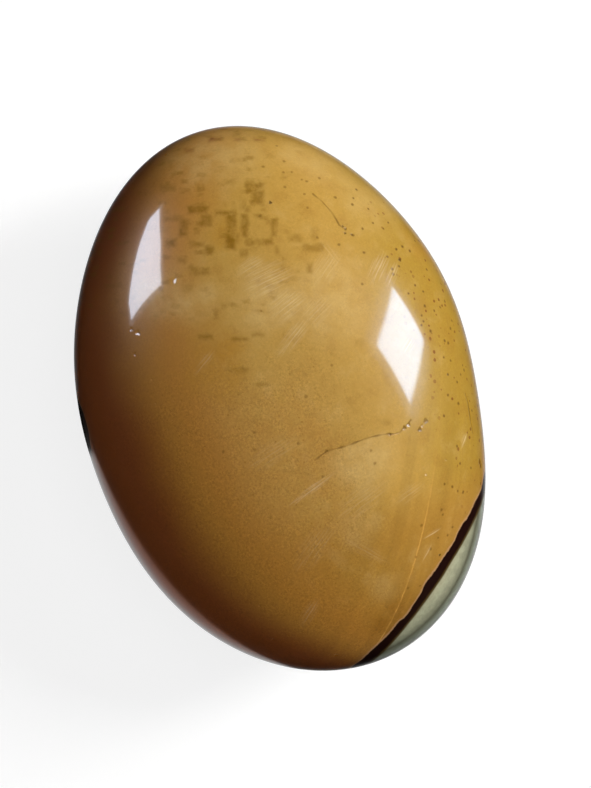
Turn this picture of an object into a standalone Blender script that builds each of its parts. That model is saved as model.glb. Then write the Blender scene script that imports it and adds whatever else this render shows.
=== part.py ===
"""A polished jasper pebble: one solid stone, ground to a plump oval, that lies on a small flat spot.

The stone starts as a unit sphere. Each point of the sphere is carried out to the pebble's surface by one smooth
rule, and a plane then takes a shaving off the belly, which is the flat spot that the stone rests on.
+X runs along the stone, +Y across it and +Z up through its thickness. The origin is under the middle of the
stone's box, on the plane that it rests on.
"""

import math

import bmesh
import bpy
from mathutils import Vector

# Driving dimensions, in metres.
LENGTH = 0.0561
WIDTH = 0.0396
CROWN_HEIGHT = 0.0132  # from the widest section up to the top
BELLY_DEPTH = 0.0125  # from the widest section down to the belly, before the flat spot is ground
FLAT_DEPTH = 0.00022  # how much grinding took off the belly

# The shape's departures from an ellipsoid, as shares of the stone's radius.
SHOULDER_FULLNESS = 0.022  # how far the stone swells halfway between its rim and its crown or belly
# Each row is one wave of the rim: how many lobes it has round the stone, its cosine share and its sine share.
RIM_WAVES = (
    (3, 0.0004, -0.0062),
    (4, -0.0020, 0.0056),
    (5, 0.0065, -0.0024),
)
# Each row is a place that hand grinding left a little full or a little flat: where it is on the unit sphere,
# how far it spreads and its share.
GRINDING_SWELLS = (
    ((0.55, 0.45, 0.70), 0.34, 0.006),
    ((-0.50, -0.55, 0.67), 0.38, 0.007),
    ((-0.62, 0.50, 0.60), 0.30, -0.005),
    ((0.60, -0.52, 0.61), 0.32, -0.004),
    ((0.70, 0.10, -0.71), 0.36, 0.006),
    ((-0.55, 0.60, -0.58), 0.34, -0.005),
)

# The unit sphere's facets, round the stone and from its crown down to its belly.
FACETS_AROUND = 80
FACETS_DOWN = 40

OCHRE = (0.47, 0.27, 0.065, 1.0)
POLISH_ROUGHNESS = 0.12


def clear_scene():
    for obj in list(bpy.data.objects):
        bpy.data.objects.remove(obj, do_unlink=True)


def swell(direction):
    """The share by which the pebble stands out from its ellipsoid along a unit direction."""
    off_axis = math.hypot(direction.x, direction.y)
    azimuth = math.atan2(WIDTH * direction.y, LENGTH * direction.x)
    share = SHOULDER_FULLNESS * 4 * off_axis**2 * direction.z**2
    for lobes, cosine, sine in RIM_WAVES:
        share += off_axis**lobes * (cosine * math.cos(lobes * azimuth) + sine * math.sin(lobes * azimuth))
    for place, spread, height in GRINDING_SWELLS:
        away = (direction - Vector(place).normalized()).length
        share += height * math.exp(-((away / spread) ** 2) / 2)
    return share


def half_thickness(rise):
    """The crown's height at rise 1 and the belly's depth at rise -1, with one smooth passage between them."""
    mean = (CROWN_HEIGHT + BELLY_DEPTH) / 2
    difference = (CROWN_HEIGHT - BELLY_DEPTH) / 2
    return mean + difference * (1.5 * rise - 0.5 * rise**3)


def pebble_point(direction):
    """The surface point that a unit direction of the starting sphere goes to, about the widest section's middle."""
    on_ellipsoid = Vector(
        (
            LENGTH / 2 * direction.x,
            WIDTH / 2 * direction.y,
            half_thickness(direction.z) * direction.z,
        )
    )
    return on_ellipsoid * (1 + swell(direction))


def grind_flat_spot(mesh):
    """Cuts the belly off level and closes the cut with one flat face, whose rim is a crease."""
    lowest = min(vertex.co.z for vertex in mesh.verts)
    cut = bmesh.ops.bisect_plane(
        mesh,
        geom=mesh.verts[:] + mesh.edges[:] + mesh.faces[:],
        dist=1e-7,
        plane_co=(0, 0, lowest + FLAT_DEPTH),
        plane_no=(0, 0, 1),
        clear_inner=True,
    )
    rim = [item for item in cut["geom_cut"] if isinstance(item, bmesh.types.BMEdge)]
    bmesh.ops.edgeloop_fill(mesh, edges=rim)
    for edge in rim:
        edge.smooth = False


def stand_on_origin(mesh):
    """Moves the stone so that the origin is under the middle of its box, on the flat spot."""
    corner = [min(vertex.co[axis] for vertex in mesh.verts) for axis in range(3)]
    opposite = [max(vertex.co[axis] for vertex in mesh.verts) for axis in range(3)]
    middle = Vector(((corner[0] + opposite[0]) / 2, (corner[1] + opposite[1]) / 2, corner[2]))
    bmesh.ops.translate(mesh, verts=mesh.verts, vec=-middle)


def jasper_material():
    material = bpy.data.materials.new("jasper")
    material.use_nodes = True
    shader = material.node_tree.nodes["Principled BSDF"]
    shader.inputs["Base Color"].default_value = OCHRE
    shader.inputs["Roughness"].default_value = POLISH_ROUGHNESS
    shader.inputs["Metallic"].default_value = 0.0
    return material


def make_pebble():
    mesh = bmesh.new()
    bmesh.ops.create_uvsphere(mesh, u_segments=FACETS_AROUND, v_segments=FACETS_DOWN, radius=1.0)
    for vertex in mesh.verts:
        vertex.co = pebble_point(vertex.co.normalized())
    for face in mesh.faces:
        face.smooth = True
    grind_flat_spot(mesh)
    stand_on_origin(mesh)
    bmesh.ops.recalc_face_normals(mesh, faces=mesh.faces)
    data = bpy.data.meshes.new("pebble")
    mesh.to_mesh(data)
    mesh.free()
    data.materials.append(jasper_material())
    pebble = bpy.data.objects.new("pebble", data)
    bpy.context.scene.collection.objects.link(pebble)


clear_scene()
make_pebble()
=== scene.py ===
"""A polished polychrome jasper pebble, lying on its flat spot, seen from straight above.

The pebble lies along X, its width along Y and its crown up. Sizes in the tables below are in millimetres.
"""

import math
import random

import bmesh
import bpy
import numpy as np
from mathutils import Matrix, Vector
from mathutils.bvhtree import BVHTree
from mathutils.kdtree import KDTree


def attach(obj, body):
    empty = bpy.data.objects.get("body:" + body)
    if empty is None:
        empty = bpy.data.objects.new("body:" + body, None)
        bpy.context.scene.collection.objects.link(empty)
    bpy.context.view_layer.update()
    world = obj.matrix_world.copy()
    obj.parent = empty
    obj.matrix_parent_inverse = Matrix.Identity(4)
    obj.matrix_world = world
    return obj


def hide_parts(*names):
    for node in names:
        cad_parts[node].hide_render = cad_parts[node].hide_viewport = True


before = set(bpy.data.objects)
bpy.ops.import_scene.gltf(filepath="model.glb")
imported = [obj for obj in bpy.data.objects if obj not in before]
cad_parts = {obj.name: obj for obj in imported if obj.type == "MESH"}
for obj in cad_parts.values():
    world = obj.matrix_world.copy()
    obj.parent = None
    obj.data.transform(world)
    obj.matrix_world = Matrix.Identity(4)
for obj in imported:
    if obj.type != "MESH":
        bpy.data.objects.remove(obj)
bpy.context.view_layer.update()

# The view
# The stone is looked at from straight above, turned so that its length leans 17 degrees to the left of
# upright. The camera stands 220 mm above the stone's rim, where its long side takes in 79 mm.
MM = 0.001
RIM_HEIGHT = 12.29
VIEW_DISTANCE = 220.0
VIEW_TALL = 79.14
VIEW_MIDDLE = (0.02, -1.72)
STONE_LEAN = 17.06
SENSOR_WIDTH = 36.0

camera_data = bpy.data.cameras.new("camera")
camera_data.sensor_width = SENSOR_WIDTH
camera_data.lens = SENSOR_WIDTH * VIEW_DISTANCE / VIEW_TALL
camera_data.clip_start = 0.01
camera_data.clip_end = 10.0
camera = bpy.data.objects.new("camera", camera_data)
camera.location = (VIEW_MIDDLE[0] * MM, VIEW_MIDDLE[1] * MM, (RIM_HEIGHT + VIEW_DISTANCE) * MM)
camera.rotation_euler = (0.0, 0.0, -math.radians(90.0 + STONE_LEAN))
bpy.context.scene.collection.objects.link(camera)
bpy.context.scene.camera = camera

# The stone's ground form
# One piece of jasper, sawn to a blank, ground plump and oval on a wheel, and tumbled smooth. The grinding
# left its rim a little lobed and its shoulders a little full, and wore a small flat spot where it lies.
LENGTH = 56.1
WIDTH = 39.6
CROWN_HEIGHT = 13.2
BELLY_DEPTH = 12.5
FLAT_DEPTH = 0.22
FLAT_BLEND = 0.02
SHOULDER_FULLNESS = 0.022
# Each wave of the rim: how many lobes it has round the stone, its cosine share and its sine share.
RIM_WAVES = (
    (3, 0.0004, -0.0062),
    (4, -0.0020, 0.0056),
    (5, 0.0065, -0.0024),
)
# Each place that grinding left a little full or flat: where it is on the unit sphere, its spread and share.
GRINDING_SWELLS = (
    ((0.55, 0.45, 0.70), 0.34, 0.006),
    ((-0.50, -0.55, 0.67), 0.38, 0.007),
    ((-0.62, 0.50, 0.60), 0.30, -0.005),
    ((0.60, -0.52, 0.61), 0.32, -0.004),
    ((0.70, 0.10, -0.71), 0.36, 0.006),
    ((-0.55, 0.60, -0.58), 0.34, -0.005),
)


def ground_surface(directions):
    """The stone's surface points, in millimetres about its widest section, along unit directions."""
    x, y, z = directions.T
    off_axis = np.hypot(x, y)
    azimuth = np.arctan2(WIDTH * y, LENGTH * x)
    share = SHOULDER_FULLNESS * 4 * off_axis**2 * z**2
    for lobes, cosine, sine in RIM_WAVES:
        share += off_axis**lobes * (cosine * np.cos(lobes * azimuth) + sine * np.sin(lobes * azimuth))
    for place, spread, height in GRINDING_SWELLS:
        away = np.linalg.norm(directions - np.array(Vector(place).normalized()), axis=1)
        share += height * np.exp(-((away / spread) ** 2) / 2)
    mean = (CROWN_HEIGHT + BELLY_DEPTH) / 2
    difference = (CROWN_HEIGHT - BELLY_DEPTH) / 2
    half_thickness = mean + difference * (1.5 * z - 0.5 * z**3)
    points = np.stack((LENGTH / 2 * x, WIDTH / 2 * y, half_thickness * z), axis=1)
    return points * (1 + share)[:, None]


def stand_on_flat(points, floor_height, middle):
    """Grinds the belly level at its flat spot and moves the points to the stone's place on its surface."""
    rise = points[:, 2] - floor_height
    level = FLAT_BLEND * np.logaddexp(0, rise / FLAT_BLEND)
    return np.stack((points[:, 0] - middle[0], points[:, 1] - middle[1], level), axis=1)


form = bmesh.new()
bmesh.ops.create_icosphere(form, subdivisions=7, radius=1.0)

first_points = ground_surface(np.array([vertex.co.normalized() for vertex in form.verts]))
lowest, highest = first_points.min(axis=0), first_points.max(axis=0)
MIDDLE = ((lowest[0] + highest[0]) / 2, (lowest[1] + highest[1]) / 2)
FLAT_HEIGHT = lowest[2] + FLAT_DEPTH


def surface_points():
    directions = np.array([vertex.co.normalized() for vertex in form.verts])
    return stand_on_flat(ground_surface(directions), FLAT_HEIGHT, MIDDLE)


# Pits, pores and hairline cracks
# Polishing opened a few bubbles in the jasper and followed its healed cracks. They are shallow hollows, a
# tenth to eight tenths of a millimetre wide. Grinding dirt darkens some of them, and the clean ones glint.
crown_faces = [[vertex.index for vertex in face.verts] for face in form.faces]
crown_skin = BVHTree.FromPolygons(surface_points(), crown_faces)


def on_crown(x, y):
    """The stone's surface straight above a place on the ground that it lies on."""
    return np.array(crown_skin.ray_cast(Vector((x, y, 2 * CROWN_HEIGHT)), Vector((0, 0, -1)))[0])


# Each groove: the places that it runs through, its half width, its depth and how dark its dirt is.
CRACK = (
    (-6.5, -1.6), (-6.0, -3.0), (-6.1, -4.9), (-6.0, -6.5), (-6.0, -7.6), (-6.2, -9.1), (-6.4, -9.6),
    (-6.4, -10.1), (-6.1, -10.7), (-5.6, -11.5),
)
HAIRLINE = ((18.0, -9.0), (17.1, -9.6), (15.7, -10.2), (14.4, -10.5), (13.7, -10.9))
MARGIN_LINE = ((-4.8, -17.6), (-5.7, -17.6), (-7.7, -17.3), (-8.7, -17.2))
GROOVES = (
    ([on_crown(x, y) for x, y in CRACK], 0.070, 0.025, 0.80),
    ([on_crown(x, y) for x, y in HAIRLINE], 0.072, 0.018, 0.72),
    ([on_crown(x, y) for x, y in MARGIN_LINE], 0.075, 0.030, 1.0),
)
GROOVE_STEP = 0.05
GROOVE_SPREAD = 1.6  # how far out a groove's walls reach, in half widths
GROOVE_WANDER = 0.35  # how much a groove widens and narrows along its length
GROOVE_DIRT_FILL = 1.6
# Each pit: its place, radius, depth and how dark its dirt is.
PITS = (
    (-6.0, -3.0, 0.12, 0.05, 0.8), (-6.1, -10.7, 0.24, 0.06, 0.8), (-5.9, -11.2, 0.22, 0.05, 0.6),
    (-6.7, -12.1, 0.26, 0.02, 0.8), (-6.4, -12.4, 0.20, 0.02, 0.2), (-6.1, -12.9, 0.32, 0.02, 0.7),
    (-6.3, -9.2, 0.16, 0.06, 0.5), (14.1, -10.8, 0.15, 0.06, 0.8), (13.8, -11.0, 0.17, 0.06, 0.7),
    (13.4, -10.8, 0.15, 0.06, 0.8), (13.1, -11.4, 0.13, 0.05, 0.8), (9.5, -15.2, 0.20, 0.10, 1.0),
    (18.3, -4.8, 0.19, 0.10, 1.0), (-2.5, -16.4, 0.16, 0.08, 1.0), (-19.0, -10.5, 0.16, 0.08, 1.0),
    (13.8, 6.3, 0.42, 0.034, 0.0), (10.6, 11.5, 0.22, 0.018, 0.0), (10.1, 11.0, 0.32, 0.026, 0.0),
    (8.2, 11.9, 0.24, 0.026, 0.0), (5.4, 11.0, 0.12, 0.025, 0.0), (3.1, 11.3, 0.12, 0.025, 0.0),
    (2.9, 13.9, 0.13, 0.030, 0.0), (2.8, 9.5, 0.11, 0.025, 0.0), (2.6, 8.9, 0.11, 0.025, 0.0),
    (1.1, 10.2, 0.11, 0.025, 0.0), (0.4, 10.9, 0.11, 0.030, 0.0), (-18.5, 7.6, 0.14, 0.05, 0.0),
    (-22.2, 7.4, 0.15, 0.06, 0.0), (-25.6, 2.0, 0.22, 0.08, 0.0), (26.3, 3.6, 0.18, 0.08, 0.0),
    (-21.6, -8.1, 0.15, 0.07, 0.0), (-10.3, -13.7, 0.12, 0.06, 0.0), (-11.0, -11.4, 0.12, 0.05, 0.0),
    (-11.7, -17.1, 0.36, 0.08, 1.0), (-12.1, -17.1, 0.34, 0.08, 1.0),
)
PIT_RAGGEDNESS = 0.16
PIT_WALL_POWER = 1.5
PIT_DIRT_FILL = 1.8
BELLY_PITS = 46
BELLY_PIT_RADII = (0.10, 0.26)
BELLY_PIT_DEPTH = 0.4  # in radii
BELLY_PIT_DIRTS = (0.0, 0.8, 1.0)
SIDES_TOP = 0.05  # how far up the unit sphere the sides reach
CLEAR_OF_GROUND = 0.4
FINE_ZONES = (0.75, 0.42, 0.22)  # how far from a hollow's edge each finer set of facets reaches


def belly_pits(count):
    """Pits like those of the crown, scattered over the sides and belly."""
    dice = random.Random(29)
    scattered = []
    while len(scattered) < count:
        direction = Vector([dice.gauss(0, 1) for _ in range(3)]).normalized()
        if direction.z > SIDES_TOP:
            continue
        place = ground_surface(np.array([direction]))
        place = stand_on_flat(place, FLAT_HEIGHT, MIDDLE)[0]
        if place[2] < CLEAR_OF_GROUND:
            continue
        radius = dice.uniform(*BELLY_PIT_RADII)
        scattered.append((place, radius, radius * BELLY_PIT_DEPTH, dice.choice(BELLY_PIT_DIRTS)))
    return scattered


def along(line, step):
    """Points along a line of straight pieces, about a step apart."""
    points = []
    for start, end in zip(line, line[1:]):
        pieces = max(1, round(np.linalg.norm(end - start) / step))
        points += [start + (end - start) * piece / pieces for piece in range(pieces)]
    return points + [line[-1]]


all_pits = [(on_crown(x, y), *rest) for x, y, *rest in PITS] + belly_pits(BELLY_PITS)
hollow_edges = []
for line, half_width, _, _ in GROOVES:
    hollow_edges += [(point, half_width) for point in along(line, GROOVE_STEP)]
hollow_edges += [(place, radius) for place, radius, _, _ in all_pits]
near_hollows = KDTree(len(hollow_edges))
for index, (point, _) in enumerate(hollow_edges):
    near_hollows.insert(point, index)
near_hollows.balance()

for reach in FINE_ZONES:
    from_edge = np.empty(len(form.verts))
    for index, point in enumerate(surface_points()):
        _, nearest, distance = near_hollows.find(point)
        from_edge[index] = distance - hollow_edges[nearest][1]
    form.verts.ensure_lookup_table()
    form.verts.index_update()
    finer = [edge for edge in form.edges if min(from_edge[vertex.index] for vertex in edge.verts) < reach]
    bmesh.ops.subdivide_edges(form, edges=finer, cuts=1, use_grid_fill=True)
    bmesh.ops.triangulate(form, faces=[face for face in form.faces if len(face.verts) > 3])


def outward(directions):
    """The stone's outward unit normals along unit directions."""
    step = 1e-3
    aside = np.cross(directions, np.where(np.abs(directions[:, 2:]) < 0.9, (0.0, 0.0, 1.0), (1.0, 0.0, 0.0)))
    aside /= np.linalg.norm(aside, axis=1)[:, None]
    across = np.cross(directions, aside)
    slopes = []
    for way in (aside, across):
        ahead, behind = directions + step * way, directions - step * way
        ahead /= np.linalg.norm(ahead, axis=1)[:, None]
        behind /= np.linalg.norm(behind, axis=1)[:, None]
        slopes.append(ground_surface(ahead) - ground_surface(behind))
    normals = np.cross(slopes[0], slopes[1])
    normals /= np.linalg.norm(normals, axis=1)[:, None]
    return normals * np.sign((normals * directions).sum(axis=1))[:, None]


def groove_distance(points, line):
    """How far each point is from a line of straight pieces."""
    nearest = np.full(len(points), np.inf)
    for start, end in zip(line, line[1:]):
        piece = end - start
        share = np.clip((points - start) @ piece / (piece @ piece), 0, 1)
        nearest = np.minimum(nearest, np.linalg.norm(points - start - share[:, None] * piece, axis=1))
    return nearest


form.verts.index_update()
directions = np.array([vertex.co.normalized() for vertex in form.verts])
points = stand_on_flat(ground_surface(directions), FLAT_HEIGHT, MIDDLE)
hollow = np.zeros(len(points))
dirt = np.zeros(len(points))
for line, half_width, depth, darkness in GROOVES:
    wander = 1 + GROOVE_WANDER * np.sin(points[:, 1] * 5.3 + np.sin(points[:, 0] * 3.1))
    share = np.clip(1 - groove_distance(points, line) / (half_width * GROOVE_SPREAD * wander), 0, 1)
    hollow = np.maximum(hollow, depth * share)
    packed = 0.72 + 0.28 * np.sin(points[:, 1] * 3.7 + points[:, 0] * 2.3)
    dirt = np.maximum(dirt, darkness * packed * np.clip(share * GROOVE_DIRT_FILL, 0, 1))
for place, radius, depth, darkness in all_pits:
    offset = points - place
    ragged = 1 + PIT_RAGGEDNESS * np.sin(3 * np.arctan2(offset[:, 1], offset[:, 0]) + place[0] * 9)
    share = np.clip(1 - (np.linalg.norm(offset, axis=1) / (radius * ragged)) ** 2, 0, 1)
    hollow = np.maximum(hollow, depth * share**PIT_WALL_POWER)
    dirt = np.maximum(dirt, darkness * np.clip(share * PIT_DIRT_FILL, 0, 1))
points = points - outward(directions) * hollow[:, None]
points[:, 2] = np.maximum(points[:, 2], 0)

stone_mesh = bpy.data.meshes.new("jasper_pebble")
form.to_mesh(stone_mesh)
form.free()
stone_mesh.vertices.foreach_set("co", (points * MM).astype(np.float32).ravel())
dirt_layer = stone_mesh.attributes.new("dirt", "FLOAT", "POINT")
dirt_layer.data.foreach_set("value", dirt.astype(np.float32))
stone_mesh.shade_smooth()
stone_mesh.update()
pebble = bpy.data.objects.new("jasper_pebble", stone_mesh)
bpy.context.scene.collection.objects.link(pebble)
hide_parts("pebble")
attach(pebble, "root")

# The jasper
# Silica mud that iron stained golden ochre above and sage green below, with a near-black iron vein grown
# between them. The colours go right through the stone, so every node below reads its own place in it, in
# millimetres.
jasper = bpy.data.materials.new("polychrome_jasper")
jasper.use_nodes = True
stone_tree = jasper.node_tree
stone_tree.nodes.clear()


def joined(tree, kind, values, **settings):
    """A new node with its settings, whose inputs are plain values or links to other nodes' outputs."""
    node = tree.nodes.new(kind)
    for name, setting in settings.items():
        setattr(node, name, setting)
    for place, value in values.items():
        if isinstance(value, bpy.types.NodeSocket):
            tree.links.new(value, node.inputs[place])
        else:
            node.inputs[place].default_value = value
    return node


def reckon(tree, operation, *values, clamp=False):
    node = joined(tree, "ShaderNodeMath", dict(enumerate(values)), operation=operation, use_clamp=clamp)
    return node.outputs[0]


def steer(tree, operation, *values, output=0):
    return joined(tree, "ShaderNodeVectorMath", dict(enumerate(values)), operation=operation).outputs[output]


def scaled(tree, vector, factor):
    return joined(tree, "ShaderNodeVectorMath", {0: vector, "Scale": factor}, operation="SCALE").outputs[0]


def ease(tree, value, low, high, to_low=0.0, to_high=1.0):
    """A smooth step of a value from one range to another."""
    values = {"Value": value, "From Min": low, "From Max": high, "To Min": to_low, "To Max": to_high}
    return joined(tree, "ShaderNodeMapRange", values, interpolation_type="SMOOTHSTEP").outputs[0]


def cloud(tree, place, scale, detail=2.0, roughness=0.5, output="Fac"):
    values = {"Vector": place, "Scale": scale, "Detail": detail, "Roughness": roughness}
    return joined(tree, "ShaderNodeTexNoise", values).outputs[output]


def blend(tree, factor, under, over):
    """One colour laid over another."""
    node = tree.nodes.new("ShaderNodeMix")
    node.data_type = "RGBA"
    sockets = (node.inputs[0], node.inputs[6], node.inputs[7])
    for socket, value in zip(sockets, (factor, under, over)):
        if isinstance(value, bpy.types.NodeSocket):
            tree.links.new(value, socket)
        else:
            socket.default_value = value
    return node.outputs[2]


def stone_depth(tree, place, way, reach):
    """How far a place is inside a plane that stands across a way, at its reach."""
    return reckon(tree, "SUBTRACT", reach, steer(tree, "DOT_PRODUCT", place, way, output=1))


def shader_group(name, inputs, outputs):
    """A new node group with named sockets, its input node and its output node."""
    group = bpy.data.node_groups.new(name, "ShaderNodeTree")
    for direction, sockets in (("INPUT", inputs), ("OUTPUT", outputs)):
        for socket_name, kind in sockets.items():
            group.interface.new_socket(socket_name, in_out=direction, socket_type="NodeSocket" + kind)
    return group, group.nodes.new("NodeGroupInput"), group.nodes.new("NodeGroupOutput")


place_metres = stone_tree.nodes.new("ShaderNodeTexCoord").outputs["Object"]
place = scaled(stone_tree, place_metres, 1 / MM)
x_place, y_place, z_place = joined(stone_tree, "ShaderNodeSeparateXYZ", {0: place}).outputs


def drift(scale, detail, reach):
    """How far a soft cloud carries each place aside."""
    colours = cloud(stone_tree, place, scale, detail, output="Color")
    aside = steer(stone_tree, "SUBTRACT", colours, (0.5, 0.5, 0.5))
    return scaled(stone_tree, aside, reach)


broad_drift = drift(scale=0.16, detail=1.0, reach=5.0)
middling_drift = drift(scale=0.34, detail=1.0, reach=1.1)
small_drift = drift(scale=0.9, detail=2.0, reach=0.55)
fine_drift = drift(scale=3.2, detail=2.0, reach=0.16)

# the vein: a steep sheet at the sage end, which turns level low in the stone and swells at its far edge
VEIN_INNER = (-0.7698, -0.6097, -0.1889)  # the way out of the ochre, across the steep sheet
VEIN_INNER_REACH = 17.92
VEIN_OUTER = (-0.7679, -0.6187, -0.1657)
VEIN_OUTER_REACH = 19.50
# The steep sheet's inner face: how far across the stone each bend is, and how far out it stands there.
VEIN_BENDS = (
    (-18.0, -0.25), (-17.0, -0.05), (-16.4, 0.15), (-15.3, 0.02), (-14.4, 0.02), (-13.1, -0.16), (-12.2, 0.0),
    (-11.0, -0.09), (-9.8, -0.09), (-8.7, -0.18), (-7.9, 0.0), (-6.7, 0.20), (-5.8, 0.28), (-4.8, 0.09),
    (-3.2, 0.05), (-2.0, -0.08), (-0.6, -0.12), (0.8, -0.06),
)
BENDS_START = -20.0
BENDS_LENGTH = 25.0
BENDS_MIDDLE = 0.5
VEIN_RAGGEDNESS = 0.4
VEIN_SWAY = 0.20
VEIN_CORNER = 3.0  # how roundly the steep sheet turns level
SHEET_THICKNESS = 0.9
SHEET_MIDDLE = 9.6
SHEET_SLOPE = 0.125
SWELLING = (3.6, 19.4, 0.0)
SWELLING_REACH = 8.0
SWELLING_HEIGHT = 4.1
SWELLING_THICKNESS = 6.0
OCHRE_EDGE = (-0.04, 0.06)
SAGE_EDGE = (0.08, -0.12)
FRINGE_EDGE = (0.34, 0.08)
bends = stone_tree.nodes.new("ShaderNodeFloatCurve")
bend_points = bends.mapping.curves[0].points
while len(bend_points) < len(VEIN_BENDS):
    bend_points.new(0.5, 0.5)
for bend_point, (across, stands_out) in zip(bend_points, VEIN_BENDS):
    bend_point.location = ((across - BENDS_START) / BENDS_LENGTH, BENDS_MIDDLE + stands_out)
bends.mapping.update()
past_start = reckon(stone_tree, "SUBTRACT", y_place, BENDS_START)
bends_place = reckon(stone_tree, "DIVIDE", past_start, BENDS_LENGTH)
stone_tree.links.new(bends_place, bends.inputs["Value"])
bend_reach = reckon(stone_tree, "ADD", bends.outputs[0], VEIN_INNER_REACH - BENDS_MIDDLE)
ragged_place = steer(stone_tree, "ADD", place, scaled(stone_tree, small_drift, VEIN_RAGGEDNESS))
ragged_place = steer(stone_tree, "ADD", ragged_place, fine_drift)
from_steep = stone_depth(stone_tree, ragged_place, VEIN_INNER, bend_reach)
warped_place = steer(stone_tree, "ADD", place, broad_drift)
warped_y = steer(stone_tree, "DOT_PRODUCT", warped_place, (0.0, 1.0, 0.0), output=1)
warped_z = steer(stone_tree, "DOT_PRODUCT", warped_place, (0.0, 0.0, 1.0), output=1)
level_place = joined(stone_tree, "ShaderNodeCombineXYZ", {0: x_place, 1: y_place}).outputs[0]
from_swelling = steer(stone_tree, "DISTANCE", level_place, SWELLING, output=1)
sheet_height = reckon(stone_tree, "MULTIPLY_ADD", y_place, SHEET_SLOPE, SHEET_MIDDLE)
swelling_height = ease(stone_tree, from_swelling, 0.0, SWELLING_REACH, SWELLING_HEIGHT, 0.0)
sheet_height = reckon(stone_tree, "ADD", sheet_height, swelling_height)
from_sheet = reckon(stone_tree, "SUBTRACT", warped_z, sheet_height)
into_ochre = reckon(stone_tree, "SMOOTH_MIN", from_steep, from_sheet, VEIN_CORNER)
calm_place = steer(stone_tree, "ADD", place, scaled(stone_tree, middling_drift, VEIN_SWAY))
short_of_outer = stone_depth(stone_tree, calm_place, VEIN_OUTER, VEIN_OUTER_REACH)
sheet_thickness = ease(stone_tree, from_swelling, 0.6, SWELLING_REACH, SWELLING_THICKNESS, SHEET_THICKNESS)
short_of_under = reckon(stone_tree, "ADD", from_sheet, sheet_thickness)
short_of_sage = reckon(stone_tree, "SMOOTH_MIN", short_of_outer, short_of_under, VEIN_CORNER)
ochre_share = ease(stone_tree, into_ochre, *OCHRE_EDGE)
sage_share = ease(stone_tree, short_of_sage, *SAGE_EDGE)
fringe_share = ease(stone_tree, short_of_sage, *FRINGE_EDGE)

# ochre: golden, paler where silt clouds it, browner along the vein, rust red and painted shade at its far
# edge
OCHRE = (0.470, 0.276, 0.055, 1.0)
MARGIN_OCHRE = (0.380, 0.226, 0.029, 1.0)
LOW_OCHRE = (0.390, 0.204, 0.032, 1.0)
AMBER = (0.420, 0.188, 0.027, 1.0)
RUST_AND_SHADE = (0.240, 0.062, 0.010, 1.0)
SILT = (0.600, 0.400, 0.140, 1.0)
BROWN = (0.285, 0.125, 0.012, 1.0)
HONEY = (0.400, 0.190, 0.012, 1.0)
# Each range below is where a colour or mark begins and ends, then where it is given, its share at each.
MARGIN_RANGE = (-8.5, -15.5)
LOW_END_RANGE = (-10.0, -16.5)
HAZE_PALE = (0.50, 0.72, 0.0, 0.22)
HAZE_BROWN = (0.50, 0.30, 0.0, 0.25)
WAIST = 2.0
ENDS_PULL = 0.00050  # how strongly the ends turn to the far flank's colours
FLANK_SWAY = 0.4
UPPER_HALF_DELAY = (-8.0, 8.0, 0.0, -0.7)
UPPER_END_SHADOW = (14.0, 20.0, 0.0, 1.5)
AMBER_AND_SHADE_RANGE = (0.8, 8.6)
RUST_AND_SHADE_RANGE = (9.2, 15.6)
FLANK_HEIGHTS = (17.5, 13.0, 0.0, 0.85)
FLANK_RANGE = (1.5, 7.0)
ochre = blend(stone_tree, ease(stone_tree, y_place, *MARGIN_RANGE), OCHRE, MARGIN_OCHRE)
ochre = blend(stone_tree, ease(stone_tree, x_place, *LOW_END_RANGE), ochre, LOW_OCHRE)
# drifts of silt a few millimetres across, paler and browner than the stone round them
haze = cloud(stone_tree, place, scale=0.42, detail=4.0, roughness=0.62)
ochre = blend(stone_tree, ease(stone_tree, haze, *HAZE_PALE), ochre, SILT)
ochre = blend(stone_tree, ease(stone_tree, haze, *HAZE_BROWN), ochre, BROWN)
# its far flank and both its ends turn amber and then rust red, partly the stone's colour and partly painted
# shade
from_waist = reckon(stone_tree, "ABSOLUTE", reckon(stone_tree, "SUBTRACT", x_place, WAIST))
towards_ends = reckon(stone_tree, "POWER", from_waist, 3.0)
carried_y = reckon(stone_tree, "SUBTRACT", warped_y, y_place)
swayed_y = reckon(stone_tree, "MULTIPLY_ADD", carried_y, FLANK_SWAY, y_place)
far_side_shade = reckon(stone_tree, "MULTIPLY_ADD", towards_ends, ENDS_PULL, swayed_y)
far_side_shade = reckon(stone_tree, "ADD", far_side_shade, ease(stone_tree, x_place, *UPPER_HALF_DELAY))
# painted shadow: the upper end is carried further towards rust red
far_side_shade = reckon(stone_tree, "ADD", far_side_shade, ease(stone_tree, x_place, *UPPER_END_SHADOW))
ochre = blend(stone_tree, ease(stone_tree, far_side_shade, *AMBER_AND_SHADE_RANGE), ochre, AMBER)
ochre = blend(stone_tree, ease(stone_tree, far_side_shade, *RUST_AND_SHADE_RANGE), ochre, RUST_AND_SHADE)
# low on the far flank the stone turns rust red again, partly rust and partly painted shade under the far rim
low_flank = ease(stone_tree, z_place, *FLANK_HEIGHTS)
flank_rust_and_shade = reckon(stone_tree, "MULTIPLY", low_flank, ease(stone_tree, y_place, *FLANK_RANGE))
ochre = blend(stone_tree, flank_rust_and_shade, ochre, RUST_AND_SHADE)
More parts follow.
